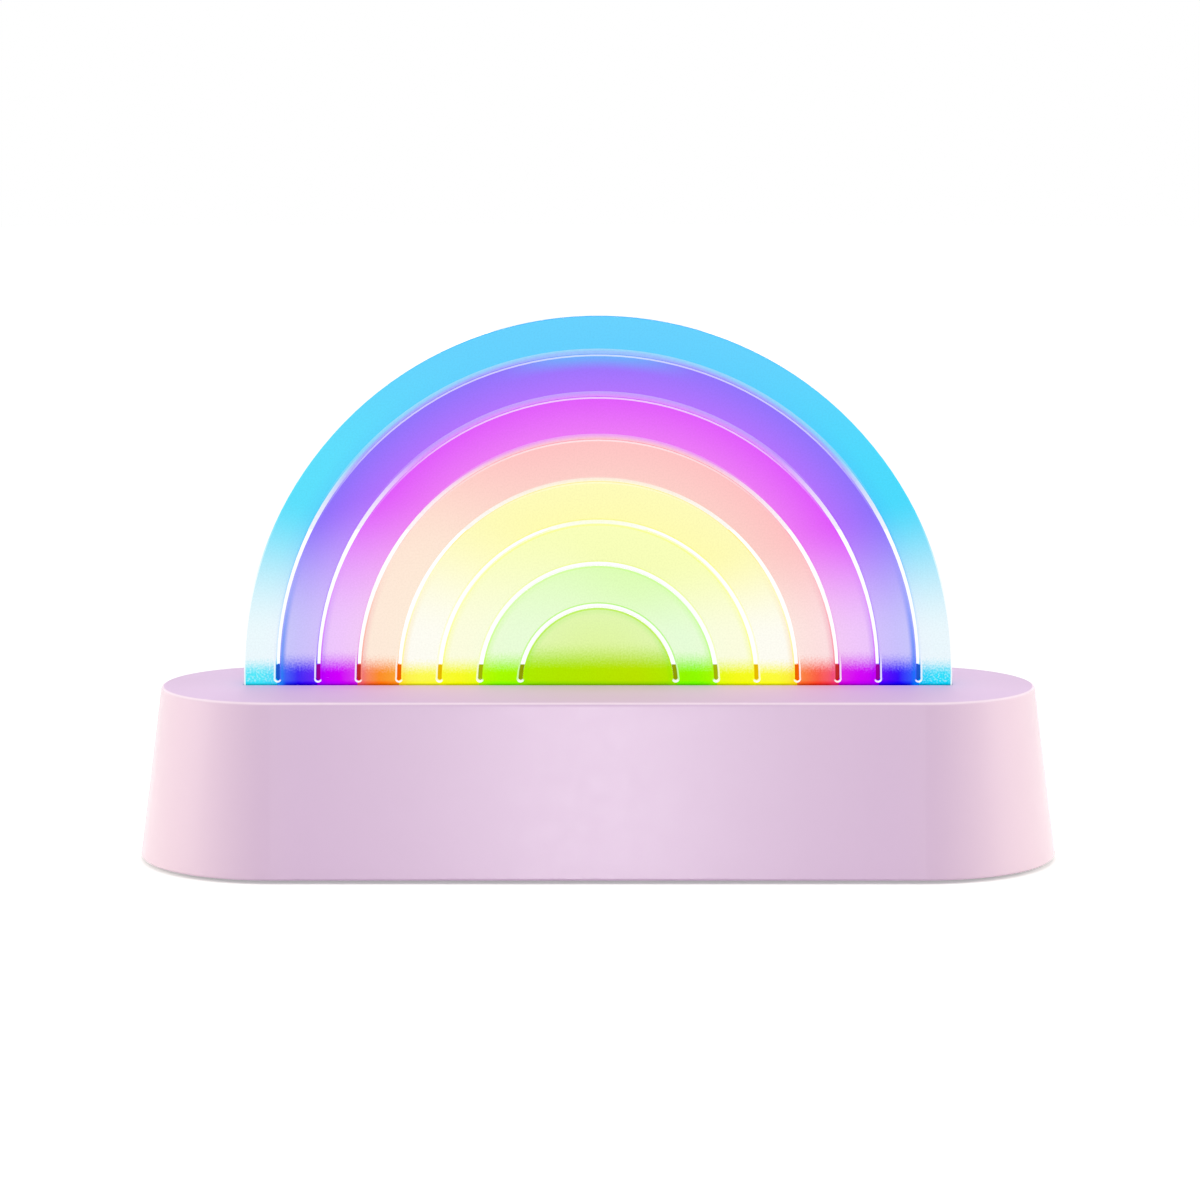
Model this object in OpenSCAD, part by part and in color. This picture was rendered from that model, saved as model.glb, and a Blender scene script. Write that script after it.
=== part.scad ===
// Rainbow night lamp. A slotted acrylic arch stands in a tapered casing and is lit from below.
// The origin lies on the table under the middle of the casing. The front faces -Y.

/* [Casing] */
// Length of the casing at its foot
base_len = 260; // [250:1:300]
// Depth of the casing at its foot
base_dep = 80; // [78:1:100]
// Height of the casing without its rubber feet
base_h = 48.5; // [47:0.5:70]
// How far each side leans in from foot to top
base_lean = 6.5; // [3:0.1:8]
// Thickness of the casing's walls and of its top
wall = 2.6; // [2:0.1:3]
// Radius along the casing's top edge
edge_r = 1.2; // [0.6:0.1:2]
// Radius along the casing's bottom edge
rim_r = 0.6; // [0.3:0.1:1]
// Thickness of the bottom cover
cover_t = 2.4; // [2:0.1:3]
// How far the rubber feet lift the casing off the table
foot_lift = 1; // [0.6:0.1:3]
// Radius of a rubber foot
foot_r = 6; // [5:0.5:8]
// Distance of the casing's screw posts from the ends of the casing
post_end = 42; // [38:1:48]
// Distance of the casing's screw posts from the front and the back of the casing
post_side = 16; // [14:1:18]

/* [Rainbow panel] */
// Radius of the arch
arch_r = 100; // [94:0.5:106]
// Thickness of the acrylic panel
panel_t = 6; // [5:0.5:8]
// Height of the innermost slot's centre above the top of the casing
arc_lift = 0.65; // [0.5:0.05:1.5]
// How much higher the centre of each slot lies than that of the slot inside it
arc_climb = 0.47; // [0:0.01:0.6]
// Number of arc slots, which leave one band more and the middle
slot_count = 7; // [3:1:7]
// Radius of the innermost slot
core_r = 21.95; // [20:0.05:23]
// Distance of the outermost slot from the arch's edge
edge_band = 9.45; // [8.5:0.05:11]
// Width of a slot
slot_w = 1.2; // [1:0.1:2]
// Bevel along both edges of a slot
slot_bevel = 0.45; // [0.2:0.05:0.7]
// Height of the slots' round ends above the top of the casing
slot_rise = 1.85; // [1.6:0.05:4]
// Height above the casing up to which a web in the slots ties the feet of the bands together
foot_web = 5.6; // [4:0.1:7]
// How high on the panel a web bridges the slots again, as a share of the arch's radius
bridge_share = 0.44; // [0.42:0.01:0.6]
// Thickness of both webs
web_t = 1.6; // [1:0.1:2.4]
// Bevel around the panel's outer edge
panel_bevel = 0.4; // [0.2:0.05:0.8]
// Depth of the panel's tongue below the top of the casing
tongue = 16; // [14:0.5:18]
// Clearance around the panel in the casing's top
panel_gap = 0.25; // [0.1:0.05:0.5]

/* [Panel clamp] */
// Thickness of each clamp bar
clamp_t = 5; // [4:0.5:6]
// Length of the clamp bars past the panel's ends
clamp_over = 5; // [4:0.5:8]
// Radius of the pins through the panel's tongue
pin_r = 2; // [1.5:0.1:2.4]
// Distance of the inner pins from the middle
pin_in = 30; // [20:1:40]
// Distance of the outer pins from the middle
pin_out = 80; // [74:1:88]
// Distance of the outer clamp screws from the middle
ear_x = 57; // [50:1:64]
// Distance of the clamp screws from the clamp bars
ear_out = 6.5; // [5:0.5:8]

/* [Light unit] */
// Side of a square light-emitting diode
led_w = 5; // [3.5:0.1:5.4]
// Height of a light-emitting diode
led_h = 1.6; // [1:0.1:2]
// Height of the baffle that keeps the colours apart
baffle_h = 4.4; // [3:0.2:6]
// Thickness of the baffle's fins
fin_t = 1.4; // [1:0.1:2]
// Thickness of both circuit boards
board_t = 1.6; // [1:0.2:1.6]
// Spacing of the diodes under the middle of the rainbow
core_led_step = 14; // [10:1:15]

/* [Control board] */
// Length of the control board
board_len = 68; // [66:1:80]
// Depth of the control board
board_dep = 26; // [25:0.5:27]
// Height of the control board above the bottom cover
standoff_h = 8.3; // [6:0.1:10]
// Distance of each push button from the middle
button_x = 22; // [16:0.5:22]
// Radius of a push button
button_r = 4.5; // [3.5:0.1:5]
// How far a push button stands out of the casing
button_proud = 0.8; // [0.4:0.1:1]
// Travel of a push button
button_travel = 0.5; // [0.3:0.1:0.6]
// Width of the charging socket
usb_w = 8.94; // [8.9:0.02:9]
// Height of the charging socket
usb_h = 3.26; // [3.2:0.02:3.3]
// Length of the charging socket
usb_len = 7.35; // [7:0.05:8]

/* [Battery] */
// Radius of the battery cell
cell_r = 9.2; // [7:0.1:9.3]
// Length of the battery cell
cell_len = 65; // [50:1:70]
// Distance of the battery's axis from the front of the casing
cell_front = 25; // [24:0.5:27]
// Width of the battery strap
strap_w = 10; // [8:0.5:14]
// Thickness of the battery strap
strap_t = 1.6; // [1.2:0.1:2]

/* [Hidden] */
$fn = 96;

// Colours of the materials
casing_pink = [0.87, 0.79, 0.87];
acrylic = [0.80, 0.85, 0.98, 0.85];
white_plastic = [0.93, 0.93, 0.92];
board_green = [0.13, 0.42, 0.27];
steel = [0.72, 0.73, 0.75];
black_plastic = [0.13, 0.13, 0.14];
rubber_grey = [0.36, 0.35, 0.37];
cell_blue = [0.22, 0.42, 0.75];

// Gap between two moulded pieces that fit into each other
fit_gap = 0.3;
// Gap around a screw or a pin in its hole
screw_gap = 0.05;
hole_gap = 0.1;
// How far a cutter runs past the face that it opens
past = 1;
// How far a boss runs into the wall that carries it
root = 0.5;

// Heights of the casing
top_z = foot_lift + base_h;
ceiling_z = top_z - wall;
lean_a = atan(base_lean / base_h);
end_x = (base_len - base_dep) / 2;

// Half depth of the casing's outside at a height
function half_dep(z) = base_dep / 2 - base_lean * (z - foot_lift) / base_h;
// Half depth of the casing's inside at a height
function room_dep(z) = half_dep(z) - wall;
// Points along an arc
function arc(cx, cy, r, from, to, steps) =
    [for (i = [0:steps]) let (a = from + (to - from) * i / steps) [cx + r * cos(a), cy + r * sin(a)]];
// Outline of a slot with two round ends, centred on the origin
function oblong(w, h, steps = 10) =
    concat(arc((w - h) / 2, 0, h / 2, -90, 90, steps), arc((h - w) / 2, 0, h / 2, 90, 270, steps));

// Bottom cover, feet and the screws that hold the cover
cover_set = 0.3;
cover_z = foot_lift + cover_set;
floor_z = cover_z + cover_t;
foot_sink = 1.6;
foot_bevel = 0.5;
post_r = 4;
post_x = base_len / 2 - post_end;
post_y = base_dep / 2 - post_side;
base_screw_r = 1.5;
base_screw_len = 10;
base_head_r = 2.8;
base_head_h = 1.8;
cup_wall = 1.5;
cup_floor = 2;
head_z = cover_z + foot_sink + base_head_h;
cup_z = head_z + cup_floor;

// Panel, clamp and light unit, stacked down from the casing's top
tongue_z = top_z - tongue;
// Distance from one slot to the next
slot_pitch = (arch_r - edge_band - core_r) / (slot_count - 1);
// Height above the casing from which the upper web bridges the slots
bridge_h = bridge_share * arch_r;
// How much wider the drilled end of a slot is than the slot, on each side
slot_end_over = 0.06;
clamp_len = 2 * (arch_r + clamp_over);
clamp_y = panel_t / 2 + clamp_t;
pin_up = 6;
pin_z = tongue_z + pin_up;
pin_deep = 3;
ear_t = 2.6;
ear_drop = 7.4;
ear_z = ceiling_z - ear_drop - ear_t;
ear_r = 4.5;
ear_neck = 7.4;
ear_y = clamp_y + ear_out;
ear_boss_r = 3.4;
clamp_screw_r = 1.25;
clamp_screw_len = 8;
clamp_head_r = 2.4;
clamp_head_h = 1.6;
light_z = tongue_z - baffle_h;
light_board_z = light_z - board_t;
cell_gap = 0.5;
light_screw_in = 4;
light_screw_x = arch_r - light_screw_in;
light_screw_y = panel_t / 2 + clamp_t / 2;
light_screw_r = 1;
light_screw_len = 12;
light_head_r = 1.9;
light_head_h = 1.4;
lens_r = led_w * 0.38;
lens_deep = 0.4;

// Control board and what stands on it
board_z = floor_z + standoff_h;
board_top = board_z + board_t;
switch_w = 6.4;
switch_dep = 3.6;
button_z = board_top + switch_w / 2;
pad_rim = 3;
pad_r = button_r + pad_rim;
pad_h = 0.5;
pad_y = room_dep(button_z + pad_r) - pad_h;
flange_rim = 1.5;
flange_r = button_r + flange_rim;
flange_t = 1.2;
flange_y = pad_y - fit_gap / 2 - flange_t;
plunger_r = 1.7;
plunger_in = 1;
board_y = flange_y - button_travel - fit_gap - hole_gap;
board_mid_y = board_y - board_dep / 2;
usb_z = board_top + usb_h / 2;
usb_recess = 0.7;
usb_y = half_dep(usb_z) - usb_recess;
usb_shell_t = 0.33;
usb_tab_w = 14;
usb_tab_y = room_dep(board_top) - fit_gap;
plug_dep = 0.5;
plug_w = 13.4;
plug_h = 7.4;
board_hole_in = 4;
board_screw_r = 1.1;
board_screw_len = 6;
board_head_r = 2;
board_head_h = 1.4;
standoff_r = 3;

// Small pieces on the control board. Places are counted from the middle of the board.
controller_at = [-9, 1];
controller_size = [10, 3.9, 1.5];
charger_at = [3, -4];
charger_size = [4.9, 3.9, 1.5];
leg_step = 1.25;
leg_w = 0.4;
leg_out = 1;
inductor_at = [11, 4];
inductor_size = [6, 6, 3];
capacitor_at = [14, -6];
capacitor_r = 3.15;
capacitor_h = 9;
resistor_at = [-9, 6.5];
resistor_size = [1.6, 0.8, 0.5];
resistor_step = 3;
resistor_count = 6;

// Sockets and plugs of the two leads
led_socket_x = -20;
led_socket_off = 6;
led_socket_y = board_mid_y - led_socket_off;
led_socket_w = 9.9;
socket_dep = 4.8;
socket_h = 6;
plug_rise = 1.2;
wire_r = 0.6;
wire_step = 2;
wire_bend = 2;
led_wire_in = 2.5;
led_wire_y = clamp_y - led_wire_in;
wire_sides = 8;
cell_socket_y = board_mid_y;
cell_socket_w = 7.9;
cell_socket_len = 6;
cell_socket_h = 5.4;
cell_plug_out = 2.2;
socket_rim = 0.8;
cell_wire_z = board_top + cell_socket_h / 2;

// Battery and its strap
cell_lift = 0.8;
cell_y = cell_front - base_dep / 2;
cell_z = floor_z + cell_lift + cell_r;
saddle_x = 22;
saddle_t = 3;
strap_boss_h = 3;
strap_lug_z = floor_z + strap_boss_h;
strap_lug_t = 2;
strap_boss_r = 3;
strap_r = cell_r + screw_gap;
strap_screw_y = strap_r + strap_t + strap_boss_r + 1;
strap_lug_y = strap_screw_y + strap_boss_r;

// Outline of half of the casing's outside: top edge, leaning side, bottom edge
casing_side = concat(
    [[0, top_z]],
    arc(half_dep(top_z - edge_r) - edge_r / cos(lean_a), top_z - edge_r, edge_r, 90, lean_a, 6),
    arc(half_dep(foot_lift + rim_r) - rim_r / cos(lean_a), foot_lift + rim_r, rim_r, lean_a, -90, 4),
    [[0, foot_lift]]);
// Outline of half of the casing's hollow, which is open below
hollow_side = [
    [0, ceiling_z],
    [room_dep(ceiling_z), ceiling_z],
    [room_dep(foot_lift - past), foot_lift - past],
    [0, foot_lift - past]];
// Outline of half of the bottom cover
cover_side = [
    [0, floor_z],
    [room_dep(floor_z) - fit_gap, floor_z],
    [room_dep(cover_z) - fit_gap, cover_z],
    [0, cover_z]];

// A body with two straight sides and two round ends, from the outline of half its depth
module stadium(side) {
    last = len(side) - 1;
    translate([-end_x, 0, 0]) rotate([90, 0, 90]) linear_extrude(2 * end_x)
        polygon(concat(side, [for (i = [last:-1:0]) if (side[i][0] > 0) [-side[i][0], side[i][1]]]));
    for (way = [-1, 1]) translate([way * end_x, 0, 0]) rotate(-90 * way)
        rotate_extrude(angle = 180) polygon(side);
}

// A cross-head screw. The underside of its head is at the origin and its shank points up.
module screw(shank_r, shank_len, head_r, head_h) {
    tip = shank_r * 0.8;
    cross_len = head_r * 1.2;
    cross_w = head_r * 0.3;
    difference() {
        union() {
            translate([0, 0, -head_h]) cylinder(r = head_r, h = head_h, $fn = 32);
            cylinder(r = shank_r, h = shank_len - tip, $fn = 24);
            translate([0, 0, shank_len - tip]) cylinder(r1 = shank_r, r2 = shank_r * 0.4, h = tip, $fn = 24);
        }
        for (turn = [0, 90]) rotate(turn)
            translate([-cross_len / 2, -cross_w / 2, -head_h - past])
                cube([cross_len, cross_w, head_h / 2 + past]);
    }
}

// A wire along a flat route of points
module wire(route) {
    last = len(route) - 1;
    rings = [for (i = [0:last])
        let (along = route[min(i + 1, last)] - route[max(i - 1, 0)])
        let (across = [-along[1], along[0]] / norm(along))
        for (j = [0:wire_sides - 1])
            let (a = 360 * j / wire_sides, p = route[i] + wire_r * cos(a) * across)
                [p[0], p[1], wire_r * sin(a)]];
    skin = [for (i = [0:last - 1], j = [0:wire_sides - 1])
        let (a = i * wire_sides + j, b = i * wire_sides + (j + 1) % wire_sides)
            each [[a, a + wire_sides, b], [b, a + wire_sides, b + wire_sides]]];
    first_cap = [[for (j = [0:wire_sides - 1]) j]];
    last_cap = [[for (j = [wire_sides - 1:-1:0]) last * wire_sides + j]];
    polyhedron(concat(rings), concat(skin, first_cap, last_cap));
}

// Places of the four posts, one under each corner
module at_posts() for (x = [-1, 1], y = [-1, 1]) translate([x * post_x, y * post_y, 0]) children();

// Places of the clamp screws on one side of the panel
module at_ears(way) for (x = [-ear_x, 0, ear_x]) translate([x, way * ear_y, 0]) children();

// Places of the screws that hold the light unit to one clamp bar
module at_light_screws(way)
    for (x = [-light_screw_x, 0, light_screw_x]) translate([x, way * light_screw_y, 0]) children();

// Places of the control board's screws
module at_board_screws()
    for (x = [-1, 1], y = [-1, 1])
        translate([x * (board_len / 2 - board_hole_in), board_mid_y + y * (board_dep / 2 - board_hole_in), 0])
            children();

// Places of the two push buttons, with +Z turned to the back of the lamp
module at_buttons() for (way = [-1, 1]) at_button(way) children();
module at_button(way) translate([way * button_x, 0, button_z]) rotate([-90, 0, 0]) children();

// Lilac upper casing with its posts, bosses and rear openings
module base_shell() color(casing_pink) difference() {
    union() {
        difference() {
            stadium(casing_side);
            stadium(hollow_side);
        }
        at_posts() translate([0, 0, cup_z]) cylinder(r = post_r, h = ceiling_z + root - cup_z);
        for (way = [-1, 1]) at_ears(way)
            translate([0, 0, ear_z + ear_t]) cylinder(r = ear_boss_r, h = ear_drop + root);
        at_buttons() translate([0, 0, pad_y]) cylinder(r = pad_r, h = room_dep(button_z) + root - pad_y);
    }
    translate([-arch_r - panel_gap, -panel_t / 2 - panel_gap, ceiling_z - past])
        cube([2 * (arch_r + panel_gap), panel_t + 2 * panel_gap, wall + 2 * past]);
    at_posts() translate([0, 0, cup_z - past])
        cylinder(r = base_screw_r + screw_gap, h = past + base_screw_len);
    for (way = [-1, 1]) at_ears(way) translate([0, 0, ear_z + ear_t - past])
        cylinder(r = clamp_screw_r + screw_gap, h = past + clamp_screw_len - ear_t + root);
    at_buttons() translate([0, 0, pad_y - past])
        cylinder(r = button_r + fit_gap / 2, h = half_dep(0) - pad_y + 2 * past);
    translate([0, 0, usb_z]) rotate([90, 0, 0]) translate([0, 0, -half_dep(0)]) {
        linear_extrude(half_dep(0) - room_dep(0) + 2 * wall)
            polygon(oblong(usb_w + fit_gap, usb_h + fit_gap));
        linear_extrude(half_dep(0) - half_dep(usb_z) + plug_dep) polygon(oblong(plug_w, plug_h));
    }
}

// Bottom cover with screw cups, standoffs, battery saddles and strap bosses
module base_cover() color(casing_pink) difference() {
    union() {
        stadium(cover_side);
        at_posts() translate([0, 0, cover_z]) cylinder(r = foot_r + hole_gap + cup_wall, h = cup_z - cover_z);
        at_board_screws() translate([0, 0, floor_z - root]) cylinder(r = standoff_r, h = standoff_h + root);
        for (x = [-saddle_x, saddle_x])
            translate([x - saddle_t / 2, cell_y - cell_r, floor_z - root])
                cube([saddle_t, 2 * cell_r, cell_z - floor_z - cell_r / 2 + root]);
        for (way = [-1, 1]) translate([0, cell_y + way * strap_screw_y, floor_z - root])
            cylinder(r = strap_boss_r, h = strap_boss_h + root);
    }
    at_posts() {
        translate([0, 0, cover_z - past]) cylinder(r = foot_r + hole_gap, h = past + foot_sink);
        cylinder(r = base_head_r + fit_gap, h = head_z);
        cylinder(r = base_screw_r + hole_gap, h = cup_z + past);
    }
    at_board_screws() translate([0, 0, board_z + board_t - board_screw_len - root])
        cylinder(r = board_screw_r + screw_gap, h = board_screw_len);
    for (way = [-1, 1]) translate([0, cell_y + way * strap_screw_y, floor_z - cover_t / 2])
        cylinder(r = board_screw_r + screw_gap, h = strap_boss_h + cover_t);
    translate([-cell_len / 2, cell_y, cell_z]) rotate([0, 90, 0]) cylinder(r = strap_r, h = cell_len);
}

// Four rubber feet, which also hide the casing's screws
module rubber_feet() color(rubber_grey) at_posts()
    rotate_extrude() polygon([
        [0, 0],
        [foot_r - foot_bevel, 0],
        [foot_r, foot_bevel],
        [foot_r, cover_z + foot_sink],
        [0, cover_z + foot_sink]]);

module base_screws() color(steel) at_posts() translate([0, 0, head_z])
    screw(base_screw_r, base_screw_len, base_head_r, base_head_h);

// Radius of a slot
function slot_r(i) = core_r + i * slot_pitch;
// Height of a slot's centre above the top of the casing. The arch's outer edge counts as one slot more.
function arc_h(i) = arc_lift + i * arc_climb;

// Outline of the arch's outer edge, bevelled at both faces of the panel
arch_edge = [
    [arch_r - panel_bevel, -panel_t / 2],
    [arch_r, panel_bevel - panel_t / 2],
    [arch_r, panel_t / 2 - panel_bevel],
    [arch_r - panel_bevel, panel_t / 2]];

// Outline that cuts a slot through the sheet, bevelled at both faces, at a distance from the middle
function slot_side(x) = let (half = slot_w / 2, flare = half + slot_bevel + past, out = panel_t / 2 + past)
    [[x - flare, -out], [x + flare, -out], [x + half, slot_bevel - panel_t / 2],
    [x + half, panel_t / 2 - slot_bevel], [x + flare, out], [x - flare, out],
    [x - half, panel_t / 2 - slot_bevel], [x - half, slot_bevel - panel_t / 2]];

// The web in the slots, at the feet of the bands and high up
module slot_webs() {
    translate([-arch_r, 0, -web_t / 2]) cube([2 * arch_r, foot_web, web_t]);
    translate([-arch_r, bridge_h, -web_t / 2]) cube([2 * arch_r, arch_r, web_t]);
}

// The tool that cuts a slot: an arc and the two straight stretches under it, down to the round ends. Where a
// web stays, it cuts a groove into each face of the panel.
module slot_path(i) difference() {
    translate([0, arc_h(i), 0]) {
        rotate_extrude(angle = 180) polygon(slot_side(slot_r(i)));
        for (way = [-1, 1]) rotate([90, 0, 0]) linear_extrude(arc_h(i)) polygon(slot_side(way * slot_r(i)));
    }
    translate([-arch_r, -past, -panel_t])
        cube([2 * arch_r, slot_rise + past, 2 * panel_t]);
    slot_webs();
}

// The tool that mills the round ends of a slot into both faces of the panel, bevelled at the faces
module slot_ends(i) difference() {
    end_r = slot_w / 2 + slot_end_over;
    over = max(slot_rise - arc_h(i), 0);
    for (way = [-1, 1]) translate([way * sqrt(slot_r(i) ^ 2 - over ^ 2), slot_rise, 0])
        rotate(90) rotate_extrude() polygon([
            [0, -panel_t / 2 - past],
            [end_r + slot_bevel + past, -panel_t / 2 - past],
            [end_r, slot_bevel - panel_t / 2],
            [end_r, panel_t / 2 - slot_bevel],
            [end_r + slot_bevel + past, panel_t / 2 + past],
            [0, panel_t / 2 + past]]);
    slot_webs();
}

// Acrylic rainbow: one sheet, whose bands are joined under the slots and by the tongue in the casing
module rainbow_panel() color(acrylic) difference() {
    translate([0, 0, top_z]) rotate([90, 0, 0]) difference() {
        translate([0, arc_h(slot_count), 0]) {
            rotate_extrude(angle = 180) polygon(concat(arch_edge, [[0, panel_t / 2], [0, -panel_t / 2]]));
            rotate([90, 0, 0]) linear_extrude(arc_h(slot_count) + tongue)
                polygon(concat(arch_edge, [for (i = [3:-1:0]) [-arch_edge[i][0], arch_edge[i][1]]]));
        }
        for (i = [0:slot_count - 1]) {
            slot_path(i);
            slot_ends(i);
        }
    }
    at_pins() cylinder(r = pin_r + hole_gap, h = panel_t + 2 * past, center = true);
}

// Places of the pins that cross the panel's tongue, with +Z turned to the back of the lamp
module at_pins()
    for (x = [-pin_out, -pin_in, pin_in, pin_out]) translate([x, 0, pin_z]) rotate([-90, 0, 0]) children();

// One clamp bar with its three screw ears, in front of the panel or behind it
module clamp_bar(way) {
    difference() {
        union() {
            translate([-clamp_len / 2, way > 0 ? panel_t / 2 : -clamp_y, tongue_z])
                cube([clamp_len, clamp_t, ceiling_z - tongue_z]);
            at_ears(way) translate([0, 0, ear_z]) {
                cylinder(r = ear_r, h = ear_t);
                translate([-ear_neck / 2, way > 0 ? -ear_out - root : 0, 0])
                    cube([ear_neck, ear_out + root, ear_t]);
            }
        }
        at_ears(way) translate([0, 0, ear_z - past])
            cylinder(r = clamp_screw_r + hole_gap, h = ear_t + 2 * past);
        at_light_screws(way) translate([0, 0, tongue_z - past])
            cylinder(r = light_screw_r + screw_gap, h = past + light_screw_len - baffle_h - board_t + root);
    }
}

// Front clamp bar, with the pins and the stops at the panel's ends
module panel_clamp_front() color(white_plastic) {
    clamp_bar(-1);
    at_pins() translate([0, 0, -panel_t / 2 - root]) cylinder(r = pin_r, h = panel_t + pin_deep + root);
    for (way = [-1, 1])
        translate([way > 0 ? arch_r + fit_gap : -clamp_len / 2, -panel_t / 2 - root, tongue_z])
            cube([clamp_over - fit_gap, panel_t + root, ceiling_z - tongue_z]);
}

// Rear clamp bar, with sockets for the front bar's pins
module panel_clamp_rear() color(white_plastic) difference() {
    clamp_bar(1);
    at_pins() cylinder(r = pin_r + screw_gap, h = panel_t / 2 + pin_deep + fit_gap);
}

module clamp_screws() color(steel) for (way = [-1, 1]) at_ears(way) translate([0, 0, ear_z])
    screw(clamp_screw_r, clamp_screw_len, clamp_head_r, clamp_head_h);

// Baffle with one cell for each foot of each band and one for the middle
module light_baffle() color(white_plastic) difference() {
    cell_dep = led_w + 2 * cell_gap;
    translate([-clamp_len / 2, -clamp_y, light_z]) cube([clamp_len, 2 * clamp_y, baffle_h]);
    translate([fin_t / 2 - core_r, -cell_dep / 2, light_z - past])
        cube([2 * core_r - fin_t, cell_dep, baffle_h + 2 * past]);
    for (i = [0:slot_count - 1], way = [-1, 1]) {
        inner = slot_r(i) + fin_t / 2;
        outer = i < slot_count - 1 ? slot_r(i + 1) - fin_t / 2 : arch_r;
        translate([way > 0 ? inner : -outer, -cell_dep / 2, light_z - past])
            cube([outer - inner, cell_dep, baffle_h + 2 * past]);
    }
    for (way = [-1, 1]) at_light_screws(way) translate([0, 0, light_z - past])
        cylinder(r = light_screw_r + hole_gap, h = baffle_h + 2 * past);
}

// Circuit board that carries the diodes
module led_board() color(board_green) difference() {
    translate([-clamp_len / 2, -clamp_y, light_board_z]) cube([clamp_len, 2 * clamp_y, board_t]);
    for (way = [-1, 1]) at_light_screws(way) translate([0, 0, light_board_z - past])
        cylinder(r = light_screw_r + hole_gap, h = board_t + 2 * past);
}

// Middle of a band's foot, counted from the middle of the rainbow
function foot_x(i) = (slot_r(i) + (i < slot_count - 1 ? slot_r(i + 1) : arch_r)) / 2;

// Places of the diodes along the board: three under the middle and one under each foot of each band
led_places = concat(
    [-core_led_step, 0, core_led_step],
    [for (i = [0:slot_count - 1]) each [-foot_x(i), foot_x(i)]]);

// Coloured diodes
module led_packages() color(white_plastic)
    for (x = led_places) translate([x, 0, light_z]) difference() {
        translate([-led_w / 2, -led_w / 2, 0]) cube([led_w, led_w, led_h]);
        translate([0, 0, led_h - lens_deep]) cylinder(r = lens_r, h = lens_deep + past, $fn = 24);
    }

module led_board_screws() color(steel) for (way = [-1, 1]) at_light_screws(way)
    translate([0, 0, light_board_z]) screw(light_screw_r, light_screw_len, light_head_r, light_head_h);

// Control board, with a tab under the charging socket
module control_board() color(board_green) difference() {
    union() {
        translate([-board_len / 2, board_y - board_dep, board_z]) cube([board_len, board_dep, board_t]);
        translate([-usb_tab_w / 2, board_y - root, board_z])
            cube([usb_tab_w, usb_tab_y - board_y + root, board_t]);
    }
    at_board_screws() translate([0, 0, board_z - past])
        cylinder(r = board_screw_r + hole_gap, h = board_t + 2 * past);
}

module control_board_screws() color(steel) at_board_screws() translate([0, 0, board_top]) rotate([180, 0, 0])
    screw(board_screw_r, board_screw_len, board_head_r, board_head_h);

// Places a piece on the control board, counted from the board's middle
module on_board(at) translate([at[0], board_mid_y + at[1], board_top]) children();

// A block that stands on the control board
module block(size) translate([-size[0] / 2, -size[1] / 2, 0]) cube(size);

// A chip with its two rows of legs
module chip(size) {
    legs = floor(size[0] / leg_step);
    block(size);
    for (i = [0:legs - 1]) translate([(i - (legs - 1) / 2) * leg_step, 0, 0])
        block([leg_w, size[1] + 2 * leg_out, size[2] / 3]);
}

module controller_chip() color(black_plastic) on_board(controller_at) chip(controller_size);
module charger_chip() color(black_plastic) on_board(charger_at) chip(charger_size);
module power_inductor() color(black_plastic) on_board(inductor_at) block(inductor_size);
module filter_capacitor() color(black_plastic) on_board(capacitor_at)
    cylinder(r = capacitor_r, h = capacitor_h);
module board_resistors() color(black_plastic) for (i = [0:resistor_count - 1])
    on_board([resistor_at[0] + (i - (resistor_count - 1) / 2) * resistor_step, resistor_at[1]])
        block(resistor_size);

// Steel sleeve of the charging socket, open at the back of the lamp
module usb_socket() color(steel) translate([0, usb_y, usb_z]) rotate([90, 0, 0]) difference() {
    linear_extrude(usb_len) polygon(oblong(usb_w, usb_h));
    translate([0, 0, -past]) linear_extrude(usb_len - usb_shell_t + past)
        polygon(oblong(usb_w - 2 * usb_shell_t, usb_h - 2 * usb_shell_t));
}

// Black insulator inside the charging socket: a plug and the thin tongue that carries the contacts
module usb_insulator() color(black_plastic) translate([0, usb_y, usb_z]) rotate([90, 0, 0]) {
    base = 1.8;
    lip = 0.7;
    lip_w = usb_w * 0.75;
    inside = usb_len - usb_shell_t;
    translate([0, 0, inside - base]) linear_extrude(base)
        polygon(oblong(usb_w - 2 * usb_shell_t - 2 * screw_gap, usb_h - 2 * usb_shell_t - 2 * screw_gap));
    translate([-lip_w / 2, -lip / 2, lip]) cube([lip_w, lip, inside - base]);
}

// Bodies of the two tact switches
module switch_bodies() color(black_plastic) for (way = [-1, 1]) difference() {
    translate([way * button_x - switch_w / 2, board_y - switch_dep, board_top])
        cube([switch_w, switch_dep, switch_w]);
    at_button(way) translate([0, 0, board_y - plunger_in - button_travel - fit_gap])
        cylinder(r = plunger_r + hole_gap, h = switch_dep);
}

// Plunger of one tact switch, from inside the switch to the back of its button
module plunger(way) at_button(way) translate([0, 0, board_y - plunger_in])
    cylinder(r = plunger_r, h = flange_y - board_y + plunger_in);

// One push button: a round cap with a soft edge, and the flange that keeps it in the casing
module button(way) at_button(way) {
    face_y = half_dep(button_z - button_r) + button_proud;
    soft = 0.6;
    rotate_extrude() polygon(concat(
        [[0, flange_y], [flange_r, flange_y]],
        [[flange_r, flange_y + flange_t], [button_r, flange_y + flange_t]],
        arc(button_r - soft, face_y - soft, soft, 0, 90, 5),
        [[0, face_y]]));
}

module power_plunger() color(white_plastic) plunger(-1);
module power_button() color(white_plastic) button(-1);
module mode_plunger() color(white_plastic) plunger(1);
module mode_button() color(white_plastic) button(1);

// Places of the upright socket and of the one that lies at the board's end
module at_led_socket()
    translate([led_socket_x - led_socket_w / 2, led_socket_y - socket_dep / 2, board_top]) children();
module at_cell_socket()
    translate([board_len / 2 - cell_socket_len, cell_socket_y - cell_socket_w / 2, board_top]) children();

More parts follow.
